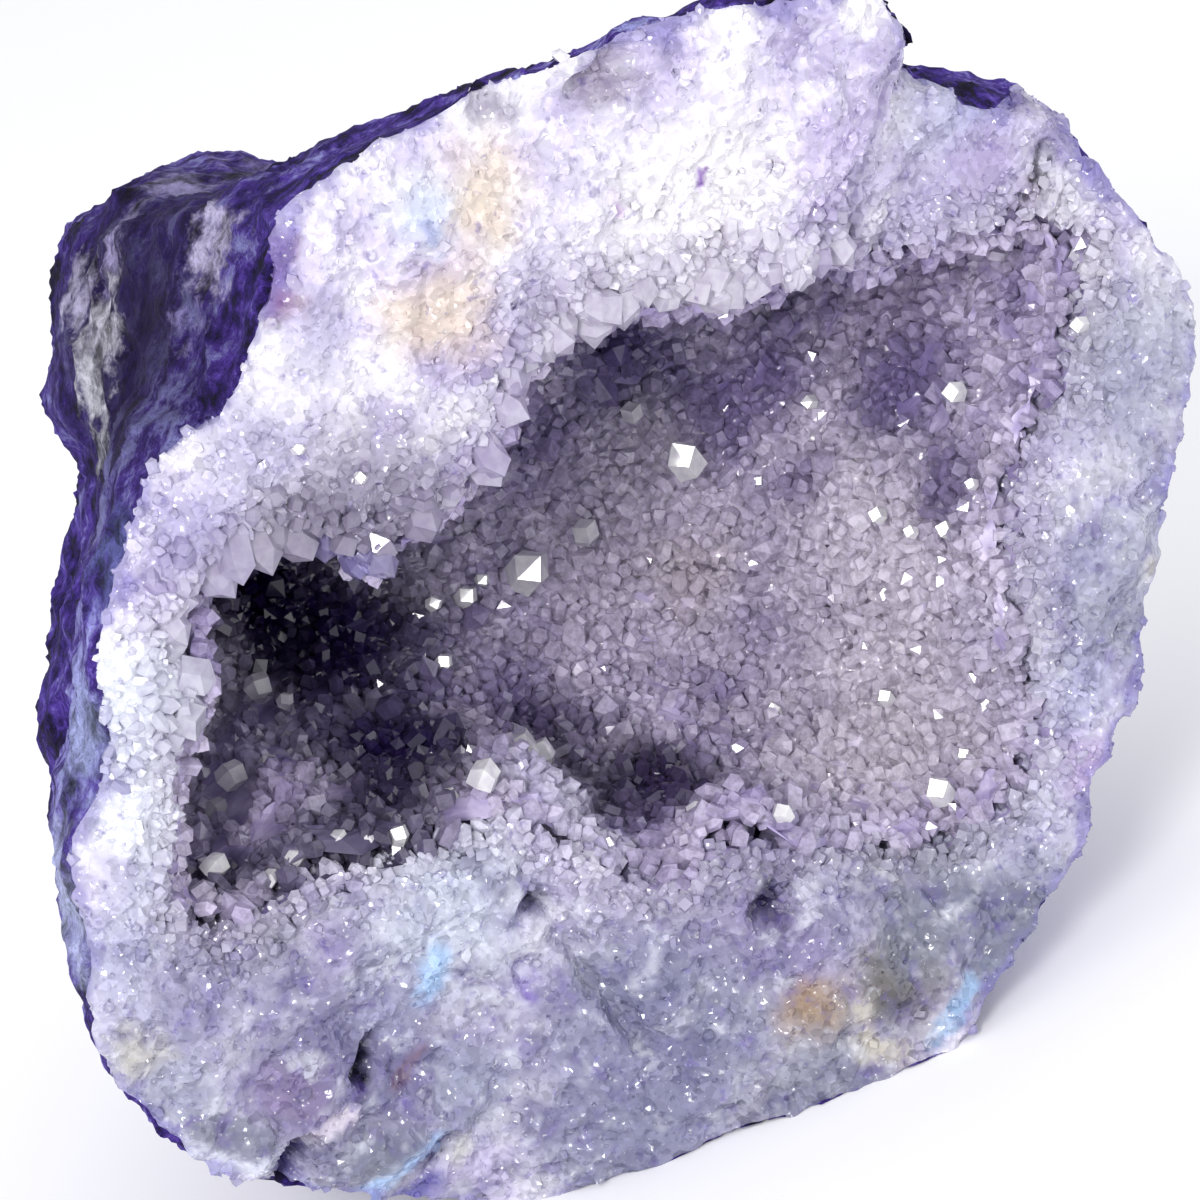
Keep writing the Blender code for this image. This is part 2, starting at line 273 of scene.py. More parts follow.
# Clefts, pits, ledges and lobes of the broken face: the x and z that each one runs through, its half width,
# and how deep it goes, all in millimetres. A lobe goes the other way.
CARVINGS = (
    ("dark pit", ((3.2, 13.0), (5.8, 13.6)), 0.9, 1.5),
    ("dark hole", ((-22.2, 13.8), (-20.4, 15.4)), 0.8, 1.4),
    ("cleft below the mouth", ((-8.7, 19.4), (-7.6, 16.5), (-6.6, 12.0), (-4.9, 7.8)), 1.3, 1.1),
    ("pocket at the mouth", ((-9.4, 18.9), (-8.1, 18.7)), 1.1, 1.0),
    ("bottom cleft", ((-28.1, 9.0), (-27.4, 10.2), (-26.2, 11.0)), 1.1, 1.7),
    ("grey nodule", ((-32.0, 15.0), (-29.2, 12.8)), 2.6, -0.9),
    ("blue nodule", ((-23.6, 8.2), (-20.6, 7.4)), 2.4, -0.9),
    ("groove in the blue band", ((-19.4, 5.2), (-17.6, 6.6)), 0.9, 0.9),
    ("open vug", ((6.6, 64.8), (8.6, 65.4)), 1.7, 1.4),
    ("small vug", ((0.2, 66.0), (0.6, 66.4)), 1.2, 1.0),
    ("joint beside the block", ((27.0, 60.0), (23.4, 54.6), (21.2, 50.0), (20.0, 47.0)), 1.1, 1.3),
    ("right crack", ((33.8, 45.0), (35.4, 45.8), (36.6, 48.0)), 0.9, 1.6),
    ("right notch", ((34.6, 26.6), (36.2, 27.2)), 1.0, 0.8),
    ("set back right of the block", ((27.4, 56.8), (24.4, 52.4), (22.8, 48.0), (28.0, 49.0)), 4.2, 1.7),
    ("block", ((19.0, 58.5), (17.2, 53.5), (16.6, 49.5)), 3.6, -0.9),
    ("lower left lobe", ((-24.0, 22.0), (-15.0, 21.0)), 4.5, -1.0),
    ("lower middle lobe", ((0.0, 15.5), (6.0, 11.0)), 4.5, -0.9),
    ("hollowed right corner", ((14.0, 9.5), (19.5, 6.5)), 3.8, 1.0),
    ("left shelf", ((-24.5, 43.0), (-17.5, 38.5)), 3.4, 1.0),
    ("upper swell", ((-4.0, 57.0), (6.0, 60.0)), 5.5, -0.6),
)


def distance_to_path(point, path):
    """How far a point in x and z lies from a line through other points."""
    least = math.inf
    for start, end in zip(path, path[1:]):
        along = end - start
        share = max(0.0, min(1.0, (point - start).dot(along) / along.length_squared))
        least = min(least, (point - start - along * share).length)
    return least


quartz_group = stone.vertex_groups["quartz"].index
front_limit = cad_box[0].y + 0.4 * MM
foot_top = 1.0 * MM
quartz_verts = [v for v in stone.data.vertices if any(g.group == quartz_group for g in v.groups)]
for carving, path, reach, depth in CARVINGS:
    line = [Vector(corner) * MM for corner in path]
    for vert in quartz_verts:
        share = 1.0 - distance_to_path(Vector((vert.co.x, vert.co.z)), line) / (reach * MM)
        if share > 0.0 and vert.co.z > foot_top:
            moved = vert.co.y + depth * MM * share * share * (3.0 - 2.0 * share)
            vert.co.y = max(moved, min(vert.co.y, front_limit))


def edge_points(mesh, one, other):
    """A search tree of the points shared by faces of both kinds."""
    kinds = [set() for _ in mesh.vertices]
    for face in mesh.polygons:
        for index in face.vertices:
            kinds[index].add(face.material_index)
    shared = [i for i, kind in enumerate(kinds) if one in kind and other in kind]
    tree = KDTree(len(shared))
    for index in shared:
        tree.insert(mesh.vertices[index].co, index)
    tree.balance()
    return tree


def add_attribute(mesh, name, kind, field, values):
    """Stores one value, or one x, y and z, for each point of the mesh."""
    mesh.attributes.new(name, kind, "POINT").data.foreach_set(field, values)


def measure_edges(mesh):
    """Stores how far each point is from the mouth and from the rind in millimetres, and the way to the mouth."""
    nearest = [mouth_edge.find(vert.co) for vert in mesh.vertices]
    ways = [(found[0] - vert.co).normalized() for found, vert in zip(nearest, mesh.vertices)]
    to_rim = [rim_edge.find(vert.co)[2] / MM for vert in mesh.vertices]
    add_attribute(mesh, "from_mouth", "FLOAT", "value", [found[2] / MM for found in nearest])
    add_attribute(mesh, "to_mouth", "FLOAT_VECTOR", "vector", [part for way in ways for part in way])
    add_attribute(mesh, "from_rind", "FLOAT", "value", to_rim)


mouth_edge = edge_points(stone.data, QUARTZ, WALL)
rim_edge = edge_points(stone.data, QUARTZ, RIND)
measure_edges(stone.data)


def displace(piece, group, kind, grain, height, **settings):
    """Raises and sinks the surface by a pattern with a grain and a height in millimetres."""
    pattern = bpy.data.textures.new(piece.name + kind, kind)
    pattern.noise_scale = grain * MM
    for name, value in settings.items():
        setattr(pattern, name, value)
    modifier = piece.modifiers.new(kind, "DISPLACE")
    modifier.texture = pattern
    modifier.texture_coords = "LOCAL"
    modifier.vertex_group = group
    modifier.strength = height * MM
    modifier.mid_level = 0.5
    bpy.context.view_layer.objects.active = piece
    bpy.ops.object.modifier_apply(modifier=modifier.name)


def keep_inside(piece):
    """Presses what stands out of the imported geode's box back to its sides."""
    places = numpy.empty(len(piece.data.vertices) * 3)
    piece.data.vertices.foreach_get("co", places)
    places = numpy.clip(places.reshape(-1, 3), cad_box[0], cad_box[1])
    piece.data.vertices.foreach_set("co", places.ravel())
    piece.data.update()


displace(stone, "quartz", "CLOUDS", grain=4.2, height=1.5, noise_depth=2)
displace(stone, "quartz", "VORONOI", grain=1.6, height=0.6, distance_metric="DISTANCE")
displace(stone, "quartz", "CLOUDS", grain=0.7, height=0.16, noise_type="HARD_NOISE")
displace(stone, "rind", "MUSGRAVE", grain=3.4, height=0.9, musgrave_type="RIDGED_MULTIFRACTAL", noise_intensity=0.5)
displace(stone, "rind", "CLOUDS", grain=0.9, height=0.35, noise_type="HARD_NOISE")
keep_inside(stone)

# Drusy quartz: milky where it is fine-grained, greyer and clearer towards the hollow, stained by the dye and
# by iron in places. Painted light brightens the top of the face, and painted shade darkens it low down and in its
# pits and crack. Each stain has the x and z of its middle, its reach in millimetres, its colour and its strength.
FACE_STAINS_LIGHT_AND_SHADE = (
    # Painted light: the quartz at the top of the face is made paler and brighter.
    ("upper middle haze", (8.0, 53.0), 12.0, "#f3f0f8", 0.6),
    ("left shelf haze", (-14.0, 45.5), 9.5, "#8a829c", 0.9),
    ("left rim", (-27.5, 40.5), 7.0, "#f0f4ff", 0.9),
    ("left rim low", (-29.6, 35.0), 5.0, "#eff2ff", 0.9),
    # Grey-blue tint and painted shade: the lower hazes darken the face towards the bottom.
    ("lower left haze", (-22.0, 15.0), 12.5, "#68658f", 0.88),
    ("pale lobe", (-14.0, 21.0), 8.0, "#ccd2e4", 0.9),
    ("lower middle haze", (-4.0, 8.5), 12.5, "#777a9b", 0.9),
    ("violet lobe", (5.0, 13.5), 7.5, "#8a7fab", 0.85),
    ("lower right haze", (17.0, 8.5), 9.5, "#85899e", 0.92),
    ("right side", (33.0, 22.0), 10.0, "#969ab6", 0.8),
    ("right side above", (37.0, 34.0), 9.0, "#a2a4bd", 0.85),
    ("upper right", (31.0, 49.0), 8.0, "#bcb4d6", 0.75),
    ("violet shoulder", (20.5, 55.0), 5.5, "#c9b8ea", 0.5),
    # White quartz and painted light: the block at the top is made nearly white.
    ("bleached block", (12.0, 57.0), 6.5, "#fdfaff", 0.95),
    ("open vug", (7.6, 65.0), 2.6, "#8f83a0", 0.8),
    ("small vug", (0.4, 66.2), 1.6, "#9288a4", 0.7),
    ("cream streak", (-1.6, 61.6), 4.4, "#e4d2bc", 0.8),
    ("cream streak below", (-5.4, 56.0), 4.4, "#e8d6be", 0.75),
    ("blue stain", (-5.0, 61.6), 2.2, "#b4c6ea", 0.7),
    ("blue dot", (-5.2, 61.0), 0.7, "#4a5cae", 0.85),
    ("magenta fleck", (6.7, 57.3), 0.9, "#b878d4", 0.8),
    ("magenta speck", (12.3, 56.9), 0.6, "#8d4fc0", 0.9),
    ("rust line", (-13.4, 59.6), 0.9, "#a8848c", 0.5),
    ("ochre patch", (4.5, 6.4), 3.4, "#a88a5e", 0.88),
    ("olive shade", (9.9, 5.4), 4.8, "#625d50", 0.96),
    # Dye and painted shade: the pit and the pocket at the mouth are darkened where they sink in.
    ("dark pit", (4.5, 13.4), 1.6, "#1c1440", 0.95),
    ("dark pocket", (-8.8, 18.9), 1.3, "#57507c", 0.8),
    # Dye and painted shade: the crack on the right is darkened along its length.
    ("crack stain", (35.0, 45.6), 1.5, "#6a4f7a", 0.85),
    ("crack stain above", (36.4, 47.6), 1.4, "#5c4a86", 0.8),
    ("cream right", (34.6, 22.2), 1.8, "#c9c3b4", 0.7),
    ("dark blue right", (35.9, 26.4), 1.0, "#5b5aa0", 0.7),
    ("dark violet right", (33.6, 17.2), 1.1, "#4c4894", 0.75),
    ("pink corner", (26.6, 12.0), 3.6, "#b79fd2", 0.8),
    ("white ridge", (36.0, 41.5), 3.4, "#f6f5fd", 0.85),
    ("white ridge above", (36.6, 45.0), 2.8, "#f2f1fb", 0.85),
    ("blue-grey right of the block", (31.5, 52.6), 4.0, "#b4b5da", 0.8),
    ("dyed rim", (28.9, 57.2), 2.8, "#4f3f88", 0.9),
    ("dyed rim above", (31.9, 55.8), 2.6, "#6072b8", 0.9),
    ("dyed rim in the corner", (35.8, 52.6), 3.2, "#4b3785", 0.9),
    ("dyed rim on the right", (39.0, 47.6), 2.8, "#7365b0", 0.85),
    ("left margin", (-33.8, 27.3), 4.5, "#b3b5d2", 0.85),
    ("left margin above", (-30.7, 30.5), 4.0, "#c6c6de", 0.8),
    ("left margin below", (-33.2, 21.8), 4.5, "#b0b2ca", 0.85),
    ("left margin low", (-32.7, 17.6), 4.0, "#9fa2ba", 0.85),
    ("grey by the left end", (-28.5, 23.5), 6.0, "#9390b2", 0.88),
    ("grey under the lip", (-24.6, 26.0), 3.5, "#8a869e", 0.85),
    ("haze between the nodules", (-15.9, 9.0), 4.5, "#9397b2", 0.85),
    ("light in the left haze", (-19.6, 16.8), 3.5, "#a9a8ca", 0.7),
    ("light low in the middle", (-6.0, 7.0), 3.5, "#9893b8", 0.6),
    ("light right of the pit", (8.4, 11.8), 3.4, "#bcbad6", 0.8),
    ("grey low right", (17.0, 2.6), 4.0, "#82889e", 0.85),
    ("grey above the olive", (12.4, 8.2), 4.4, "#7b7f92", 0.85),
    ("grey in the right corner", (20.6, 5.6), 5.0, "#767a92", 0.88),
    ("light on the right lobe", (22.0, 11.2), 5.2, "#d3d1ec", 0.87),
    ("grey right of the lip", (27.8, 16.2), 4.0, "#b4b4d8", 0.85),
    ("grey on the right side", (31.7, 19.8), 3.6, "#9293ac", 0.85),
    ("violet shade in the corner", (32.3, 48.3), 3.2, "#b0a3cc", 0.8),
    ("light in the corner", (29.0, 53.0), 3.4, "#cac8e4", 0.7),
    ("light beside the block", (23.5, 52.0), 4.0, "#dcd4f2", 0.7),
    ("blue-white by the stain", (-5.0, 62.6), 3.0, "#dde2f4", 0.6),
    ("shade at the upper left", (-12.4, 56.5), 3.6, "#c8c3e0", 0.75),
    ("shade at the upper left rim", (-17.4, 52.5), 4.4, "#beb9d8", 0.85),
    ("shade at the left rim", (-22.1, 49.6), 4.2, "#b5aed6", 0.85),
    # Painted shade: these three darken the face near the ground.
    ("low on the left", (-24.0, 6.0), 7.0, "#83839f", 0.85),
    ("low in the middle", (-8.0, 1.5), 8.0, "#8587a6", 0.88),
    ("low on the right", (5.0, 0.5), 7.0, "#7c7f96", 0.85),
    ("cream at lower left", (-33.6, 21.5), 2.2, "#c9c6be", 0.85),
    ("violet dust at the left", (-26.4, 14.5), 3.0, "#8d76a6", 0.6),
    ("violet fleck", (-11.1, 14.5), 1.3, "#7b5fc0", 0.7),
)
# Seams, bands and cracks: the x and z of their corners, their half width, their colour and their strength. In
# the cleft and the hole the dark is dye and painted shade.
FACE_LINES = (
    ("cream wedge", ((7.6, 4.9), (7.5, 2.0), (9.2, 0.9)), 1.3, "#d2ccc2", 0.88),
    ("blue skin in the corner", ((14.6, 3.3), (12.9, 2.2), (11.5, 0.9)), 0.9, "#9dbce2", 0.88),
    ("purple corner", ((-13.0, 63.4), (-13.8, 61.8), (-14.4, 60.0)), 1.1, "#7c4f8f", 0.8),
    ("pale blue patch", ((-15.4, 18.6), (-16.4, 16.6)), 1.3, "#b4d4fa", 0.95),
    ("grey chalcedony", ((-32.0, 15.0), (-30.7, 13.9), (-29.2, 12.8)), 2.2, "#83859a", 0.9),
    ("pale skin under it", ((-33.1, 14.6), (-31.6, 12.6), (-29.6, 11.2), (-27.6, 10.9)), 0.9, "#dfe2f4", 0.85),
    ("blue chalcedony", ((-23.2, 8.2), (-21.1, 7.6)), 2.0, "#7d8196", 0.9),
    ("blue band", ((-23.6, 5.6), (-21.1, 6.4), (-18.3, 6.9)), 1.1, "#b2cdf4", 0.95),
    ("dyed spots in the band", ((-18.9, 5.8), (-17.6, 6.7)), 0.6, "#37306e", 0.85),
    ("cream beside the band", ((-17.2, 5.0), (-16.8, 6.0)), 0.8, "#d5d4d4", 0.8),
    # Dye and painted shade in the cleft at the bottom.
    ("dyed cleft", ((-26.4, 10.9), (-27.4, 10.2), (-28.1, 9.0)), 0.8, "#332c6a", 0.95),
    ("dyed bottom", ((-22.4, 3.6), (-19.4, 4.2)), 1.2, "#554fa0", 0.85),
    ("pink seam", ((-23.4, 11.8), (-26.0, 11.4)), 0.8, "#e2d8e8", 0.9),
    # Dye and painted shade: the hole is darkened nearly to black.
    ("dark hole", ((-21.2, 14.6), (-21.9, 13.6), (-22.5, 12.8)), 0.7, "#120c28", 0.97),
    ("brown cracks", ((-20.2, 11.8), (-17.4, 13.0)), 0.5, "#7d5668", 0.6),
)
# Fine cloudiness low on the face, gone 46 mm up: a seed, the grain in millimetres, the noise value it starts at,
# its colour and its strength.
FACE_MOTTLES = (
    (1.0, 2.6, 0.52, "#5d5a86", 0.6),
    (4.0, 1.5, 0.54, "#6a5aa2", 0.55),
    (9.0, 1.9, 0.55, "#e9ebf7", 0.6),
)


def dots_along(lines):
    """Stains in a row, so close that they make up each line."""
    for line, path, width, tint, strength in lines:
        for start, end in zip(path, path[1:]):
            steps = math.ceil(math.dist(start, end) / width)
            for step in range(steps + 1):
                x, z = (a + (b - a) * step / steps for a, b in zip(start, end))
                yield line, (x, z), width, tint, strength


def on_face_plane(stains):
    """Places stains that are given by x and z."""
    return [(stain, (x, 0.0, z), *rest) for stain, (x, z), *rest in stains]


def mix_colour(tree, amount, under, over):
    """Lays one colour over another by an amount, and gives the result as a pair of node and output."""
    mixed = add_node(tree, "ShaderNodeMix", {"Factor": amount, 6: under, 7: over}, data_type="RGBA")
    return mixed, 2


def fading(tree, value, start, end, strength):
    """Goes from a strength at the start of a range smoothly down to nothing at its end."""
    sizes = {"Value": value, "From Min": start, "From Max": end, "To Min": strength, "To Max": 0.0}
    return add_node(tree, "ShaderNodeMapRange", sizes, interpolation_type="SMOOTHSTEP"), "Result"


def vector_math(tree, kind, one, other):
    """The sum, difference or product of two vectors."""
    return add_node(tree, "ShaderNodeVectorMath", {0: one, 1: other}, operation=kind), "Vector"


def ragged_place(tree, place, grain, reach):
    """The place on the object, moved about by noise, so that stains get ragged edges."""
    noise = add_node(
        tree, "ShaderNodeTexNoise", {"Vector": place, "Scale": 1000 / grain, "Detail": 5.0, "Roughness": 0.65}
    )
    centred = vector_math(tree, "SUBTRACT", (noise, "Color"), (0.5, 0.5, 0.5))
    return vector_math(tree, "ADD", place, vector_math(tree, "MULTIPLY", centred, (reach * MM,) * 3))


def lay_stains_and_painted_light(tree, colour, place, stains):
    """Lays stains, painted light and painted shade over a colour one after another. Each is strongest in its middle
    and fades out at its reach.
    """
    for stain, middle, reach, tint, strength in stains:
        apart = add_node(
            tree,
            "ShaderNodeVectorMath",
            {0: place, 1: tuple(part * MM for part in middle)},
            operation="DISTANCE",
            label=stain,
        )
        amount = fading(tree, (apart, "Value"), 0.2 * reach * MM, 1.1 * reach * MM, strength)
        colour = mix_colour(tree, amount, colour, linear(tint))
    return colour


def colour_steps(tree, value, steps):
    """A smooth run of colours, each at its own value."""
    ramp = add_node(tree, "ShaderNodeValToRGB", {"Fac": value})
    for _ in steps[2:]:
        ramp.color_ramp.elements.new(0.5)
    for element, (position, tint) in zip(ramp.color_ramp.elements, steps):
        element.position = position
        element.color = linear(tint)
    return ramp, "Color"


def start_group(name):
    """An empty group of geometry nodes, and the geometry that comes into it."""
    tree = bpy.data.node_groups.new(name, "GeometryNodeTree")
    tree.interface.new_socket("Geometry", in_out="INPUT", socket_type="NodeSocketGeometry")
    tree.interface.new_socket("Geometry", in_out="OUTPUT", socket_type="NodeSocketGeometry")
    return tree, (add_node(tree, "NodeGroupInput"), 0)


def apply_group(piece, tree, geometry):
    """Ends a group of geometry nodes with this geometry, and changes the piece by it for good."""
    add_node(tree, "NodeGroupOutput", {0: geometry})
    modifier = piece.modifiers.new(tree.name, "NODES")
    modifier.node_group = tree
    select_only([piece])
    bpy.ops.object.modifier_apply(modifier=modifier.name)


def paint(piece, name, colour_at):
    """Gives each point of a piece the colour of its place, kept under a name for the materials."""
    tree, geometry = start_group("paint_" + name)
    here = (add_node(tree, "GeometryNodeInputPosition"), "Position")
    stored = add_node(
        tree,
        "GeometryNodeStoreNamedAttribute",
        {"Geometry": geometry, "Name": name, "Value": colour_at(tree, here)},
        data_type="FLOAT_COLOR",
        domain="POINT",
    )
    apply_group(piece, tree, (stored, "Geometry"))


def painted(tree, name):
    """The colour that was stored on the points under a name."""
    return add_node(tree, "ShaderNodeAttribute", attribute_name=name), "Color"


def face_colour(tree, here):
    """Cloudy white to lavender quartz, stained, and tinted along the hollow and the rind.
    Painted light brightens the top of the face, and painted shade darkens it low down and in its pits, cleft,
    hole and crack.
    """
    ragged = ragged_place(tree, here, grain=4.0, reach=6.0)
    flat = vector_math(tree, "MULTIPLY", ragged, (1.0, 0.0, 1.0))
    clouds = add_node(
        tree, "ShaderNodeTexNoise", {"Vector": here, "Scale": 1000 / 5.0, "Detail": 6.0, "Roughness": 0.65}
    )
    colour = colour_steps(tree, (clouds, 0), ((0.36, "#b3a8d0"), (0.47, "#dcd4f0"), (0.58, "#f8f5ff")))
    colour = lay_stains_and_painted_light(tree, colour, flat, on_face_plane(FACE_STAINS_LIGHT_AND_SHADE))
    fine = vector_math(tree, "MULTIPLY", ragged_place(tree, here, grain=1.5, reach=2.2), (1.0, 0.0, 1.0))
    colour = lay_stains_and_painted_light(tree, colour, fine, on_face_plane(dots_along(FACE_LINES)))
    height = add_node(tree, "ShaderNodeSeparateXYZ", {"Vector": here})
    for seed, grain, least, tint, strength in FACE_MOTTLES:
        mottle = add_node(
            tree,
            "ShaderNodeTexNoise",
            {"Vector": here, "W": seed, "Scale": 1000 / grain, "Detail": 4.0, "Roughness": 0.65},
            noise_dimensions="4D",
        )
        spread = {"Value": (mottle, 0), "From Min": least, "From Max": least + 0.12}
        chosen = add_node(tree, "ShaderNodeMapRange", spread)
        low = fading(tree, (height, "Z"), 20.0 * MM, 46.0 * MM, strength)
        amount = add_node(tree, "ShaderNodeMath", {0: (chosen, "Result"), 1: low}, operation="MULTIPLY")
        colour = mix_colour(tree, (amount, "Value"), colour, linear(tint))
    unevenness = add_node(tree, "ShaderNodeMath", {0: (clouds, 0), 1: 6.0, 2: -3.0}, operation="MULTIPLY_ADD")
    for attribute, reach, tint, strength in (
        ("from_mouth", 2.5, "#c4bdd0", 0.35),
        ("from_rind", 1.1, "#7d76bc", 0.6),
    ):
        edge = add_node(tree, "GeometryNodeInputNamedAttribute", {"Name": attribute}, data_type="FLOAT")
        away = add_node(tree, "ShaderNodeMath", {0: (edge, 0), 1: (unevenness, "Value")}, operation="ADD")
        amount = fading(tree, (away, "Value"), 0.2 * reach, reach, strength)
        colour = mix_colour(tree, amount, colour, linear(tint))
    return colour


def sugar_grains(tree, place, grain, darkest, bump_height, tipping):
    """Grains of crystal: each cell gets a shade of its own and is tipped its own way, so that some glint."""
    cells = add_node(tree, "ShaderNodeTexVoronoi", {"Vector": place, "Scale": 1000 / grain})
    shade = add_node(tree, "ShaderNodeMapRange", {"Value": (cells, "Color"), "To Min": darkest, "To Max": 1.0})
    raised = add_node(tree, "ShaderNodeBump", {"Height": (cells, "Distance"), "Distance": bump_height * MM})
    centred = vector_math(tree, "SUBTRACT", (cells, "Color"), (0.5, 0.5, 0.5))
    tipped = vector_math(tree, "MULTIPLY", centred, (tipping,) * 3)
    leaning = vector_math(tree, "ADD", tipped, (raised, "Normal"))
    normal = add_node(tree, "ShaderNodeVectorMath", {0: leaning}, operation="NORMALIZE")
    return (shade, "Result"), (normal, "Vector")


QUARTZ_IOR = 1.544
paint(stone, "face_colour", face_colour)
sugary_quartz, tree, shader, here = new_material("sugary_quartz")
# The face's colour, painted light and painted shade included.
colour = painted(tree, "face_colour")
# Specks of dye and of white: a seed, the grain in millimetres, the noise value they start at, colour and strength.
QUARTZ_SPECKS = (
    (0.0, 0.9, 0.60, "#6f5fa8", 0.5),
    (7.0, 0.5, 0.63, "#ffffff", 0.6),
)
for seed, grain, least, tint, strength in QUARTZ_SPECKS:
    specks = add_node(
        tree,
        "ShaderNodeTexNoise",
        {"Vector": here, "W": seed, "Scale": 1000 / grain, "Detail": 3.0, "Roughness": 0.6},
        noise_dimensions="4D",
    )
    amount = add_node(
        tree,
        "ShaderNodeMapRange",
        {"Value": (specks, "Fac"), "From Min": least, "From Max": least + 0.08, "To Max": strength},
    )
    colour = mix_colour(tree, (amount, "Result"), colour, linear(tint))
shade, normal = sugar_grains(tree, here, grain=0.5, darkest=0.62, bump_height=0.06, tipping=0.9)
colour = vector_math(tree, "MULTIPLY", colour, shade)
fill_in(tree, shader, {"Base Color": colour, "Normal": normal, "Roughness": 0.16, "IOR": QUARTZ_IOR})

# Dyed rind: a matt, weathered skin in strands that run around the rim. It is nearly black in the hollows of its
# strands and paler on their ridges, deeper and lighter in broad drifts, and crusted white in patches on the back.
RIND_STAINS = (
    ("deep dye on the shoulder", (-17.0, -2.0, 56.0), 20.0, "#17023a", 0.93),
    ("white crust", (-17.8, 1.0, 56.0), 3.2, "#dad7e8", 0.95),
    ("white crust at the back edge", (-17.6, 6.3, 57.5), 2.8, "#c2bcdc", 0.9),
    ("white crust low", (-20.4, 2.0, 52.4), 3.0, "#d6d5e2", 0.95),
    ("white crust lowest", (-20.6, -0.2, 50.4), 2.0, "#b5b5c4", 0.8),
    ("lavender crust", (-15.8, 1.0, 60.6), 2.8, "#b1a8d6", 0.85),
    ("lavender crust in front", (-14.4, -11.5, 62.2), 3.0, "#ccc4e8", 0.95),
    ("lavender crust behind", (-10.9, 3.6, 62.0), 3.6, "#a79fce", 0.85),
    ("lavender crust on top", (-5.0, 6.0, 61.0), 3.2, "#958bbf", 0.8),
    ("lavender crust at the rim", (-17.4, -10.5, 57.8), 2.0, "#9a8fc8", 0.7),
    ("pale crust behind", (8.0, 20.0, 56.0), 7.0, "#9a93c0", 0.7),
    ("pale crust low behind", (20.0, 24.0, 20.0), 8.0, "#a09ac6", 0.75),
    ("deep dye behind", (-6.0, 26.0, 30.0), 12.0, "#1f0b48", 0.8),
    ("deep dye under the right side", (30.0, 10.0, 16.0), 9.0, "#241050", 0.75),
    ("white crust behind", (4.0, 27.0, 42.0), 5.0, "#bcb8d4", 0.8),
    ("pale crust right", (34.0, 8.0, 40.0), 7.0, "#8e8cbc", 0.7),
    ("pale crust left", (-24.0, 12.0, 24.0), 7.0, "#8c8abc", 0.6),
    ("blue rim", (-25.9, -14.6, 48.7), 4.0, "#6f78b4", 0.6),
    ("blue rim in the middle", (-30.0, -12.0, 39.0), 5.0, "#acb6e6", 0.85),
    ("blue rim below", (-33.5, -11.0, 30.0), 6.0, "#c6cdf4", 0.88),
)
dyed_rind, tree, shader, here = new_material("dyed_rind")
ragged = ragged_place(tree, here, grain=2.4, reach=12.0)
strand_place = vector_math(tree, "MULTIPLY", here, (1.0, 1.7, 1.0))
strands = add_node(
    tree,
    "ShaderNodeTexNoise",
    {"Vector": strand_place, "Scale": 1000 / 3.6, "Detail": 8.0, "Roughness": 0.74, "Distortion": 0.3},
)
drifts = add_node(
    tree, "ShaderNodeTexNoise", {"Vector": here, "Scale": 1000 / 15.0, "Detail": 3.0, "Roughness": 0.6}
)
drift = add_node(
    tree,
    "ShaderNodeMapRange",
    {"Value": (drifts, "Fac"), "From Min": 0.3, "From Max": 0.7, "To Min": -0.1, "To Max": 0.1},
)
dye = add_node(tree, "ShaderNodeMath", {0: (strands, "Fac"), 1: (drift, "Result")}, operation="ADD")
rind_steps = ((0.38, "#1a0a3c"), (0.46, "#3b2480"), (0.54, "#5a40a6"), (0.64, "#a0a0e2"))
colour = colour_steps(tree, (dye, "Value"), rind_steps)
colour = lay_stains_and_painted_light(tree, colour, ragged, RIND_STAINS)
specks = add_node(
    tree, "ShaderNodeTexNoise", {"Vector": here, "Scale": 1000 / 0.7, "Detail": 3.0, "Roughness": 0.7}
)
dark = add_node(
    tree,
    "ShaderNodeMapRange",
    {"Value": (strands, "Fac"), "From Min": 0.36, "From Max": 0.52, "To Min": 0.25, "To Max": 1.0},
)
fleck = add_node(
    tree,
    "ShaderNodeMapRange",
    {"Value": (specks, "Fac"), "From Min": 0.3, "From Max": 0.7, "To Min": 0.7, "To Max": 1.3},
)
worn = add_node(tree, "ShaderNodeMath", {0: (dark, "Result"), 1: (fleck, "Result")}, operation="MULTIPLY")
colour = vector_math(tree, "MULTIPLY", colour, (worn, "Value"))
folds = add_node(tree, "ShaderNodeBump", {"Height": (strands, "Fac"), "Strength": 1.0, "Distance": 1.0 * MM})
rough = add_node(
    tree,
    "ShaderNodeBump",
    {"Height": (specks, "Fac"), "Strength": 0.8, "Distance": 0.4 * MM, "Normal": (folds, "Normal")},
)
fill_in(tree, shader, {"Base Color": colour, "Normal": (rough, "Normal")})
fill_in(tree, shader, {"Roughness": 0.75, "Specular IOR Level": 0.2})

# Grey quartz bedding: dull, dyed like the hollow with its painted light and shade, seen only between the crystals.
bedding, tree, shader, here = new_material("grey_quartz_bedding")
mottle = add_node(tree, "ShaderNodeTexNoise", {"Vector": here, "Scale": 1000 / 2.0, "Detail": 4.0})
colour = colour_steps(tree, (mottle, "Fac"), ((0.4, "#ccc6dc"), (0.6, "#ffffff")))
colour = vector_math(tree, "MULTIPLY", colour, painted(tree, "hollow_colour"))
fill_in(tree, shader, {"Base Color": colour, "Roughness": 0.6})

for material in (dyed_rind, sugary_quartz, bedding, dyed_rind):
    stone.data.materials.append(material)
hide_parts("stone")
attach(stone, "root")

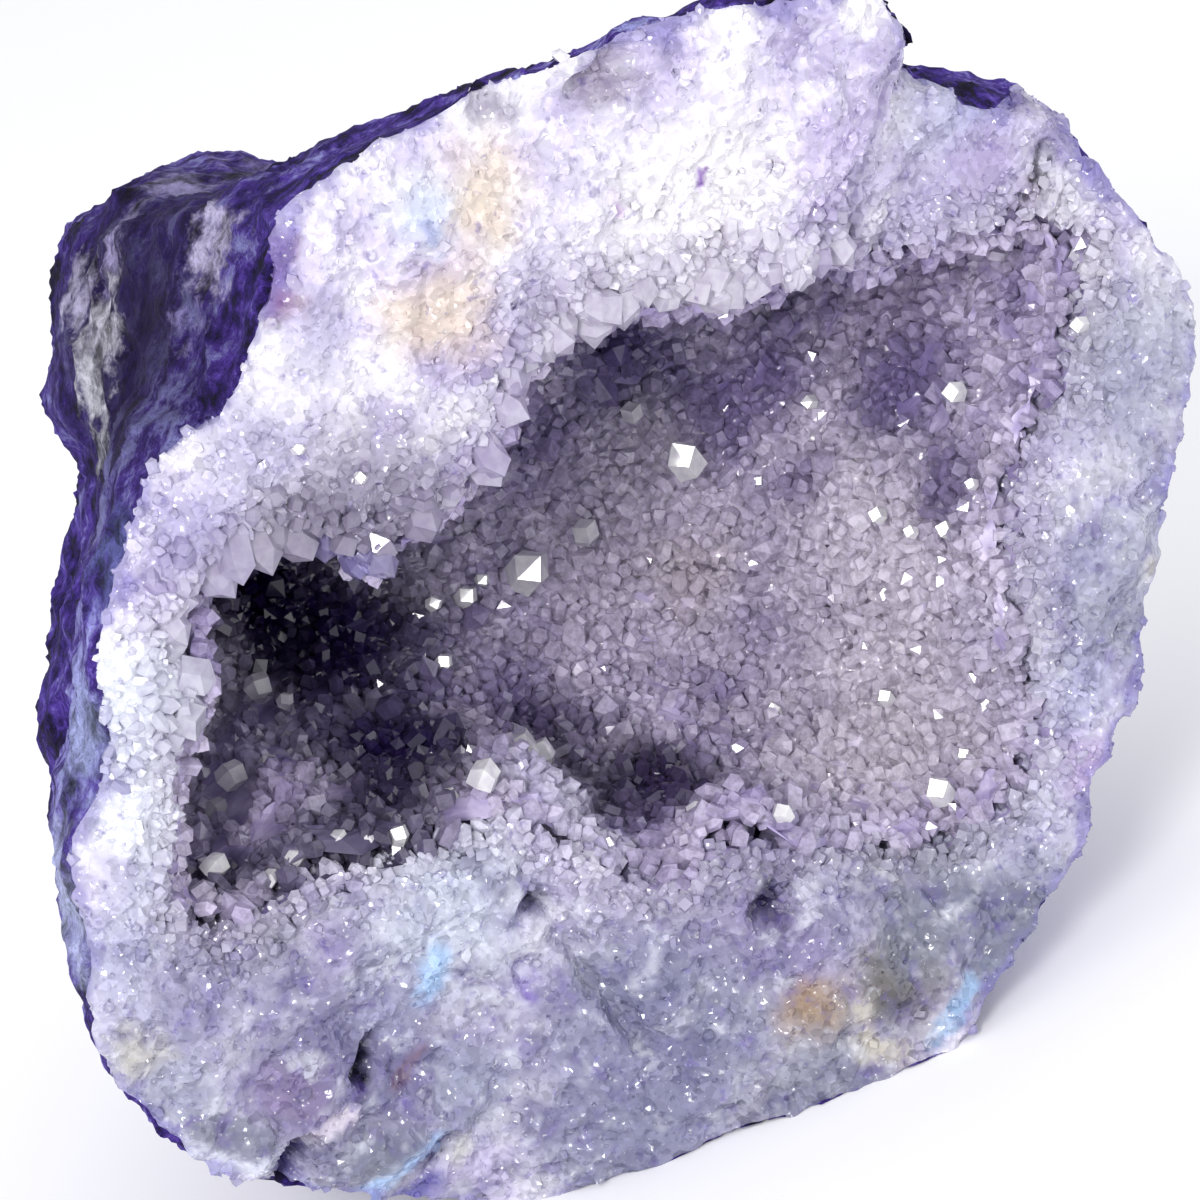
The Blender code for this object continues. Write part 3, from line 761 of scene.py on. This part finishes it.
# CRYSTAL CRUST
# The wall of the hollow carries a crust of quartz, grown over its whole inside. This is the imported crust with
# its pyramids worn down to a bumpy bed, which the crystals of the next sections stand on.
crust = merged_copy("crystal_crust", "crystal_crust_bed")
INSIDE, OUTSIDE = range(2)
bpy.ops.object.mode_set(mode="EDIT")
edit = bmesh.from_edit_mesh(crust.data)
for face in edit.faces:
    face.material_index = INSIDE if looks_inward(face) else OUTSIDE
bmesh.update_edit_mesh(crust.data)
select_faces(of_kind(INSIDE))
bpy.ops.mesh.vertices_smooth(factor=0.6, repeat=2)
bpy.ops.mesh.subdivide(number_cuts=1, smoothness=0.4)
bpy.ops.mesh.subdivide(number_cuts=1)
select_faces(of_kind(INSIDE))
bpy.ops.object.vertex_group_assign_new()
crust.vertex_groups.active.name = "inside"
bpy.ops.object.mode_set(mode="OBJECT")

# Heaps of crystal on the bed: the middle of each, its reach, and which way and how far it stands out.
HEAPS = (
    ("heap on the lip", (-6.0, -8.0, 22.5), 5.5, (0.0, -0.8, 3.2)),
    ("heap left on the lip", (-19.5, -12.5, 26.0), 5.0, (0.0, 0.0, 0.9)),
    ("lobe in the left pocket", (-20.5, -2.0, 29.0), 6.0, (2.6, -1.6, 0.8)),
    ("lobe above it", (-24.0, -9.0, 36.0), 4.5, (1.8, 0.0, 0.0)),
    ("heap right on the lip", (5.5, -12.0, 16.5), 4.0, (0.0, 0.0, 1.7)),
    ("knob on the back wall", (15.0, 10.0, 27.0), 5.0, (-0.8, -1.6, 0.4)),
    ("knob low on the right", (21.0, 2.0, 17.0), 4.5, (-1.2, -0.8, 0.6)),
    ("knob high on the right", (28.0, 0.0, 35.0), 4.5, (-1.0, -1.0, -0.4)),
)
for heap, middle, reach, push in HEAPS:
    for vert in crust.data.vertices:
        share = 1.0 - (vert.co - Vector(middle) * MM).length / (reach * MM)
        if share > 0.0:
            vert.co += Vector(push) * MM * share * share * (3.0 - 2.0 * share)
displace(crust, "inside", "CLOUDS", grain=2.2, height=0.8, noise_depth=1)
displace(crust, "inside", "VORONOI", grain=1.2, height=0.6, distance_metric="DISTANCE")
measure_edges(crust.data)
select_only([crust])
bpy.ops.object.shade_flat()

# Drusy quartz: grey-lavender and glittering, with dye and painted shade gathered in the left, at the top and on
# the floor of the hollow, and pale quartz with painted light on the right wall and floor.
HOLLOW_STAINS_LIGHT_AND_SHADE = (
    # Pale quartz with painted light: the right wall and the right floor are brightened where the key light falls.
    ("right wall", (26.0, -2.0, 24.0), 15.0, "#f0e8f8", 0.92),
    ("right floor", (18.0, -4.0, 14.0), 11.0, "#eee6f4", 0.92),
    ("middle", (12.0, 10.0, 25.0), 9.5, "#e6dcf2", 0.88),
    ("middle above", (15.3, 11.5, 32.0), 5.0, "#e2d9ee", 0.8),
    ("warm spot", (15.0, 9.0, 24.0), 4.0, "#cdbfba", 0.4),
    ("top right", (30.0, 0.5, 39.0), 8.0, "#e4d6f8", 0.88),
    # Dye and painted shade under the top edge of the mouth.
    ("dyed top", (15.3, 11.1, 39.0), 6.5, "#54447e", 0.9),
    ("dyed upper right", (22.3, 7.7, 34.0), 4.5, "#8b7ab2", 0.8),
    ("dyed right", (28.0, -1.5, 33.5), 6.0, "#75669c", 0.9),
    ("dyed right below", (26.8, -7.5, 29.0), 5.0, "#7a6c9b", 0.88),
    ("dyed middle right", (23.0, 4.5, 28.5), 3.5, "#9687b4", 0.75),
    # Dye and painted shade: the left pocket, its darkest corner, its floor and its lip are darkened nearly to black.
    ("dyed left pocket", (-8.5, 9.5, 30.0), 11.5, "#180640", 0.98),
    ("darkest corner", (-12.5, 9.0, 34.0), 7.5, "#10042e", 1.0),
    ("dyed pocket floor", (-10.5, -2.5, 25.5), 9.5, "#1c0c40", 0.98),
    ("dyed pocket lip", (-13.0, -8.5, 26.0), 6.0, "#2a1f42", 0.93),
    ("dyed back of the pocket", (0.5, 8.1, 22.0), 4.5, "#6a5a90", 0.7),
    # Dye and painted shade at the top left, and on the floor of the hollow behind the lower lip.
    ("dyed top left", (-16.0, -2.0, 37.0), 7.0, "#140634", 0.95),
    ("dyed floor", (4.0, -4.5, 18.3), 7.0, "#2e2148", 0.96),
    ("dyed floor in front", (3.5, -7.8, 17.6), 4.8, "#392c54", 0.88),
    ("dyed floor behind", (0.8, 3.6, 20.4), 5.0, "#43365f", 0.85),
    ("left wall", (-17.7, 7.3, 30.0), 4.5, "#cfc8e2", 0.85),
    ("left lobe", (-22.0, -4.5, 30.5), 6.0, "#a89cc0", 0.85),
    ("left of the lip", (-18.0, -13.5, 25.5), 8.0, "#433d58", 0.96),
    ("left end of the lip", (-24.7, -10.4, 26.6), 4.5, "#4c4662", 0.92),
    ("middle of the lip", (-5.0, -10.5, 21.0), 6.0, "#dcd8ee", 0.9),
    ("right of the lip", (11.0, -13.5, 14.5), 5.0, "#c4bcd8", 0.85),
    ("right end of the lip", (27.0, -12.0, 20.0), 7.0, "#cdc5de", 0.85),
)


def hollow_colour(tree, here):
    """Grey-lavender quartz, mottled and then stained, with painted light and painted shade among the stains."""
    mottle = add_node(tree, "ShaderNodeTexNoise", {"Vector": here, "Scale": 1000 / 3.5, "Detail": 4.0})
    colour = colour_steps(tree, (mottle, 0), ((0.38, "#a497c2"), (0.6, "#dad0ea")))
    return lay_stains_and_painted_light(tree, colour, ragged_place(tree, here, grain=5.0, reach=6.0), HOLLOW_STAINS_LIGHT_AND_SHADE)


def veiled(tree, here, colour, darkest):
    """Darkens a colour in fine veils, like those inside quartz."""
    veils = add_node(
        tree, "ShaderNodeTexNoise", {"Vector": here, "Scale": 1000 / 0.6, "Detail": 3.0, "Roughness": 0.7}
    )
    thinned = add_node(
        tree,
        "ShaderNodeMapRange",
        {"Value": (veils, "Fac"), "From Min": 0.35, "From Max": 0.6, "To Min": darkest, "To Max": 1.05},
    )
    return vector_math(tree, "MULTIPLY", colour, (thinned, "Result"))


# The hollow's colour, with its painted light and painted shade, is stored on the crust and the stone.
for piece in (crust, stone):
    paint(piece, "hollow_colour", hollow_colour)
drusy_quartz, tree, shader, here = new_material("drusy_quartz")
colour = veiled(tree, here, painted(tree, "hollow_colour"), darkest=0.6)
shade, normal = sugar_grains(tree, here, grain=0.7, darkest=0.7, bump_height=0.3, tipping=1.0)
colour = vector_math(tree, "MULTIPLY", colour, shade)
fill_in(tree, shader, {"Base Color": colour, "Normal": normal, "Roughness": 0.2, "IOR": QUARTZ_IOR})
for material in (drusy_quartz, bedding):
    crust.data.materials.append(material)
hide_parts("crystal_crust")
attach(crust, "root")

# HOLLOW CRYSTALS
# Stubby quartz points stand all over the crust, 0.5 to 1.9 mm across, at all angles. They are copies of three
# shapes, spread over the bed, turned at random and made real. For a point 1 mm across, a shape has the length of
# its sides, the height of its tip above them, how far the tip is to one side, and how far every other corner rises.
POINT_SHAPES = (
    ("stout_point", 0.45, 0.55, 0.03, 0.24),
    ("skewed_point", 0.50, 0.60, 0.14, 0.30),
    ("long_point", 0.85, 0.52, -0.08, 0.12),
)


def quartz_point(name, length, tip_height, tip_shift, rise):
    """A six-sided quartz point 1 mm across, standing on the origin with its tip up. Every other corner under the
    tip is raised, so that three of the tip's faces are wide, as on a cube that stands on its corner."""
    bpy.ops.object.select_all(action="DESELECT")
    bpy.ops.mesh.primitive_cylinder_add(
        vertices=6, radius=0.5 * MM, depth=length * MM, location=(0.0, 0.0, length / 2 * MM)
    )
    point = bpy.context.object
    point.name = name
    bpy.ops.object.transform_apply(location=True, rotation=True, scale=True)
    bpy.ops.object.mode_set(mode="EDIT")
    select_faces(lambda face: face.normal.z > 0.9)
    bpy.ops.mesh.extrude_region_move(
        TRANSFORM_OT_translate={"value": (tip_shift * MM, 0.4 * tip_shift * MM, tip_height * MM)}
    )
    bpy.ops.mesh.merge(type="CENTER")
    bpy.ops.object.mode_set(mode="OBJECT")
    for vert in point.data.vertices:
        sixth = round(math.degrees(math.atan2(vert.co.x, vert.co.y)) / 60)
        if abs(vert.co.z - length * MM) < 0.01 * MM and sixth % 2:
            vert.co.z += rise * MM
    return point


def shelf(name, pieces):
    """Puts the shapes to be copied into a collection of their own."""
    made = bpy.data.collections.new(name)
    bpy.context.scene.collection.children.link(made)
    for piece in pieces:
        for owner in piece.users_collection:
            owner.objects.unlink(piece)
        made.objects.link(piece)
    return made


def part_of(piece, name, wanted):
    """A copy of the faces of a piece for which the test is true. It is given a face and its distance from the
    mouth in millimetres."""
    made = copy_mesh(piece.data, name)
    bpy.ops.object.mode_set(mode="EDIT")
    away = bmesh.from_edit_mesh(made.data).verts.layers.float["from_mouth"]
    select_faces(lambda face: not wanted(face, sum(v[away] for v in face.verts) / len(face.verts)))
    bpy.ops.mesh.delete(type="FACE")
    bpy.ops.object.mode_set(mode="OBJECT")
    made.data.materials.clear()
    return made


# Many more spots are tried than fit, so that only the spacing decides how many crystals stand there.
CROWDING = 6.0


def grow(piece, shapes, material, spacing, sizes, lean, sink, to_mouth, seed):
    """Turns a piece of surface into the crystals that stand on it, as one mesh. Spacing, sizes and how far the
    crystals are sunk are in millimetres. They lean at random, and towards the mouth."""
    tree, ground = start_group("grow_" + piece.name)
    spots = add_node(
        tree,
        "GeometryNodeDistributePointsOnFaces",
        {
            "Mesh": ground,
            "Distance Min": spacing * MM,
            "Density Max": CROWDING / (spacing * MM) ** 2,
            "Seed": seed,
        },
        distribute_method="POISSON",
    )
    way = add_node(tree, "GeometryNodeInputNamedAttribute", {"Name": "to_mouth"}, data_type="FLOAT_VECTOR")
    pulled = vector_math(tree, "MULTIPLY", (way, "Attribute"), (to_mouth,) * 3)
    direction = vector_math(tree, "ADD", (spots, "Normal"), pulled)
    upright = add_node(tree, "FunctionNodeAlignRotationToVector", {"Vector": direction}, axis="Z")
    turn = add_node(
        tree,
        "FunctionNodeRandomValue",
        {0: (-lean, -lean, 0.0), 1: (lean, lean, 2 * math.pi), "Seed": seed + 1},
        data_type="FLOAT_VECTOR",
    )
    turned = add_node(
        tree,
        "FunctionNodeRotateRotation",
        {
            "Rotation": (upright, "Rotation"),
            "Rotate By": (add_node(tree, "FunctionNodeEulerToRotation", {"Euler": (turn, 0)}), "Rotation"),
        },
        rotation_space="LOCAL",
    )
    size = add_node(
        tree, "FunctionNodeRandomValue", {2: sizes[0], 3: sizes[1], "Seed": seed + 2}, data_type="FLOAT"
    )
    sunk = vector_math(tree, "MULTIPLY", (spots, "Normal"), (-sink * MM,) * 3)
    placed = add_node(tree, "GeometryNodeSetPosition", {"Geometry": (spots, "Points"), "Offset": sunk})
    pick = {"Collection": shapes, "Separate Children": True, "Reset Children": True}
    picked = add_node(tree, "GeometryNodeCollectionInfo", pick)
    copies = add_node(
        tree,
        "GeometryNodeInstanceOnPoints",
        {
            "Points": (placed, "Geometry"),
            "Instance": (picked, "Instances"),
            "Pick Instance": True,
            "Rotation": (turned, "Rotation"),
            "Scale": (size, 1),
        },
    )
    real = add_node(tree, "GeometryNodeRealizeInstances", {"Geometry": (copies, "Instances")})
    apply_group(piece, tree, (real, "Geometry"))
    keep_inside(piece)
    piece.data.materials.clear()
    piece.data.materials.append(material)


# Milky quartz of the hollow: dyed like the crust under it, with its painted light and shade, and light goes a
# little way in.
milky_points, tree, shader, here = new_material("milky_quartz_points")
colour = veiled(tree, here, painted(tree, "hollow_colour"), darkest=0.66)
fill_in(tree, shader, {"Base Color": colour, "Roughness": 0.1, "IOR": QUARTZ_IOR, "Transmission Weight": 0.25})

points = shelf("quartz_points", [quartz_point(*shape) for shape in POINT_SHAPES])
small_hollow_points = part_of(crust, "small_hollow_points", lambda face, away: of_kind(INSIDE)(face))
grow(small_hollow_points, points, milky_points, 0.74, (0.5, 1.2), lean=0.7, sink=0.25, to_mouth=0.0, seed=3)
large_hollow_points = part_of(crust, "large_hollow_points", lambda face, away: of_kind(INSIDE)(face) and away > 3.0)
grow(large_hollow_points, points, milky_points, 3.0, (1.2, 1.9), lean=0.7, sink=0.6, to_mouth=0.0, seed=11)
for piece in (small_hollow_points, large_hollow_points):
    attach(piece, "root")

# MOUTH CRYSTALS
# Where the crust breaks through at the mouth, blunt points 0.4 to 2.4 mm across overlap. They are clear and give
# a toothed edge above and on the left, sugary on the lower lip, and milky in the joint behind both.

# Clear quartz: water-clear with fine veils, and light passes through. On the teeth it takes the stains, the
# painted light and the painted shade of the stone behind it.
clear_materials = [new_material(name) for name in ("clear_quartz", "clear_quartz_teeth")]
clear_quartz, clear_teeth = (made[0] for made in clear_materials)
for material, tree, shader, here in clear_materials:
    veils = add_node(tree, "ShaderNodeTexNoise", {"Vector": here, "Scale": 1000 / 0.7, "Detail": 3.0})
    colour = colour_steps(tree, (veils, "Fac"), ((0.35, "#ebe7f0"), (0.6, "#ffffff")))
    if material == clear_teeth:
        colour = vector_math(tree, "MULTIPLY", colour, painted(tree, "face_colour"))
    fill_in(tree, shader, {"Base Color": colour, "Roughness": 0.06, "IOR": QUARTZ_IOR, "Transmission Weight": 0.4})


def on_toothed_edge(face):
    """The upper and left edges of the mouth, where the crust is thickest."""
    middle = face.calc_center_median()
    return middle.z > 37.0 * MM and middle.x < 23.0 * MM


def near_mouth(reach, toothed):
    """A test for the faces within reach of the mouth, on its toothed edge or off it."""
    return lambda face, away: (
        face.material_index in (QUARTZ, WALL) and away < reach and on_toothed_edge(face) == toothed
    )


small_mouth_points = part_of(stone, "small_mouth_points", near_mouth(3.6, toothed=True))
grow(small_mouth_points, points, clear_teeth, 0.6, (0.4, 1.1), lean=0.9, sink=0.3, to_mouth=0.2, seed=21)
large_mouth_points = part_of(stone, "large_mouth_points", near_mouth(1.2, toothed=True))
grow(large_mouth_points, points, clear_teeth, 1.3, (1.3, 2.4), lean=0.6, sink=0.8, to_mouth=0.8, seed=27)
lip_points = part_of(stone, "lip_points", near_mouth(1.6, toothed=False))
grow(lip_points, points, sugary_quartz, 0.6, (0.4, 1.1), lean=0.9, sink=0.3, to_mouth=0.3, seed=29)
joint_points = part_of(stone, "joint_points", lambda face, away: of_kind(WALL)(face) and 0.6 < away < 4.0)
grow(joint_points, points, milky_points, 0.7, (0.7, 1.4), lean=0.7, sink=-0.1, to_mouth=0.3, seed=33)
for piece in (small_mouth_points, large_mouth_points, lip_points, joint_points):
    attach(piece, "root")

# STANDING CRYSTALS
# Single clear points, larger than the rest. Some stand on the lower lip and in the left pocket, and those on
# the back wall have one face turned to throw the key light back. Each has its foot, in millimetres, its width,
# and whether it is a bright one.
STANDING = (
    ((5.1, 12.2, 26.7), 2.7, True),
    ((16.9, 8.2, 30.6), 2.4, True),
    ((10.3, 12.6, 27.6), 1.8, False),
    ((0.7, 11.3, 27.4), 1.4, True),
    ((-1.9, 9.7, 28.7), 1.0, True),
    ((2.5, 12.4, 27.6), 1.0, True),
    ((21.5, 3.4, 17.6), 1.8, True),
    ((24.0, -2.4, 26.8), 1.1, True),
    ((24.3, -5.8, 26.4), 0.9, True),
    ((25.4, -8.8, 26.8), 1.2, True),
    ((29.1, -7.3, 34.3), 1.4, True),
    ((24.7, 4.9, 32.7), 1.0, True),
    ((15.4, 11.7, 34.3), 1.5, False),
    ((19.2, -11.5, 11.8), 1.8, True),
    ((15.8, 3.3, 14.8), 1.1, True),
    ((21.3, -2.0, 14.9), 1.1, True),
    ((22.1, -9.5, 12.8), 0.9, True),
    ((-3.4, 6.8, 25.9), 1.1, True),
    ((-14.5, 4.3, 29.0), 1.0, True),
    ((-18.3, -1.3, 28.2), 1.0, True),
    ((16.6, 9.7, 27.7), 1.2, False),
    ((26.6, -11.1, 30.0), 0.8, True),
    ((35.4, -13.0, 37.4), 1.1, True),
    ((-3.3, -0.9, 21.0), 2.6, False),
    ((-2.0, -1.2, 20.6), 2.0, False),
    ((-15.6, -13.3, 25.6), 1.2, True),
    ((-19.3, -13.1, 26.8), 1.2, False),
    ((-17.6, -13.4, 26.4), 1.0, False),
    ((-21.7, -12.5, 26.8), 1.1, False),
    ((-23.7, -13.2, 26.6), 1.0, False),
    ((-11.8, -11.8, 25.6), 1.2, False),
    ((-9.8, -12.6, 26.0), 1.8, False),
    ((-6.4, -9.9, 20.8), 1.5, False),
    ((-21.0, -0.8, 28.0), 1.7, False),
    ((-22.2, -0.6, 26.4), 1.3, False),
    ((-15.4, 6.9, 29.5), 1.6, False),
    ((-26.1, -10.4, 27.3), 1.5, False),
    ((3.2, -11.9, 17.8), 1.3, False),
    ((8.0, -13.2, 16.0), 1.3, False),
    ((-15.4, -16.9, 51.5), 0.8, True),
    ((-12.6, -17.2, 48.6), 0.8, True),
    ((-12.8, -15.0, 44.0), 0.8, True),
)
middle_of_hollow = Vector((2.0, -10.0, 34.0)) * MM
forward_and_up = Vector((0.0, -0.3, 0.5))
SPIN_STEP = 20
eye = camera.matrix_world.translation
pattern = points.objects["stout_point"].data
tip_faces = (face for face in pattern.polygons if 0.2 < face.normal.z < 0.95)
bright_face = max(tip_faces, key=lambda face: face.area)
crystals = []
for foot, width, bright in STANDING:
    foot = Vector(foot) * MM
    outwards = (middle_of_hollow - foot).normalized() + forward_and_up
    turn = outwards.to_track_quat("Z", "Y")
    if bright:
        halfway = (key_place - foot).normalized() + (eye - foot).normalized()
        first = bright_face.normal.rotation_difference(halfway)
        spins = [Quaternion(halfway, math.radians(angle)) @ first for angle in range(0, 360, SPIN_STEP)]
        turn = max(spins, key=lambda spin: (spin @ Vector((0.0, 0.0, 1.0))).dot(outwards))
    crystal = copy_mesh(pattern, "standing_crystal")
    foot += outwards.normalized() * 0.3 * width * MM
    crystal.data.transform(Matrix.LocRotScale(foot, turn, Vector((width, width, width))))
    crystals.append(crystal)
select_only(crystals)
bpy.ops.object.join()
crystals[0].name = "standing_crystals"
crystals[0].data.materials.append(clear_quartz)
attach(crystals[0], "root")

# SUGAR
# Grains of quartz 0.15 to 0.8 mm across stand out of the whole broken face, where it broke between its crystals.
# They are small cones and points, coarser towards the mouth, with a few larger ones strewn among them.


def quartz_grain(name, height, tip_shift):
    """A five-sided grain 1 mm across with its point to one side."""
    bpy.ops.object.select_all(action="DESELECT")
    bpy.ops.mesh.primitive_cone_add(
        vertices=5, radius1=0.5 * MM, radius2=0.0, depth=height * MM, location=(0.0, 0.0, height / 2 * MM)
    )
    grain = bpy.context.object
    grain.name = name
    bpy.ops.object.transform_apply(location=True, rotation=True, scale=True)
    for vert in grain.data.vertices:
        if vert.co.z > height / 2 * MM:
            vert.co.x += tip_shift * MM
    return grain


# Where the chalcedony broke smooth: x and z of the middle, and reach, in millimetres.
SMOOTH_PLACES = ((-30.7, 13.9, 2.4), (-22.3, 8.0, 2.2), (-20.8, 6.2, 1.6), (16.5, 8.0, 4.5), (35.0, 22.0, 2.6))


def on_face(face):
    """The grainy part of the broken face, but for the last bit above the ground."""
    x, _, z = face.calc_center_median() / MM
    return (
        face.material_index == QUARTZ
        and z > 0.7
        and all(math.dist((x, z), place[:2]) > place[2] for place in SMOOTH_PLACES)
    )


grains = shelf("quartz_grains", [quartz_grain("low_grain", 0.5, 0.1), quartz_grain("tall_grain", 0.7, 0.2)])
face_grains = part_of(stone, "face_grains", lambda face, away: on_face(face) and away > 0.8)
grow(face_grains, grains, sugary_quartz, 0.42, (0.14, 0.42), lean=1.1, sink=0.07, to_mouth=0.0, seed=40)
coarse_grains = part_of(
    stone,
    "coarse_grains",
    lambda face, away: on_face(face) and away < (7.0 if on_toothed_edge(face) else 3.0),
)
grow(coarse_grains, points, sugary_quartz, 0.8, (0.3, 0.8), lean=1.2, sink=0.15, to_mouth=0.0, seed=50)
stray_grains = part_of(stone, "stray_grains", lambda face, away: on_face(face))
grow(stray_grains, points, sugary_quartz, 2.0, (0.4, 0.8), lean=1.2, sink=0.25, to_mouth=0.0, seed=60)
for piece in (face_grains, coarse_grains, stray_grains):
    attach(piece, "root")

for collection in (points, grains):
    for shape in list(collection.objects):
        bpy.data.objects.remove(shape)
    bpy.data.collections.remove(collection)
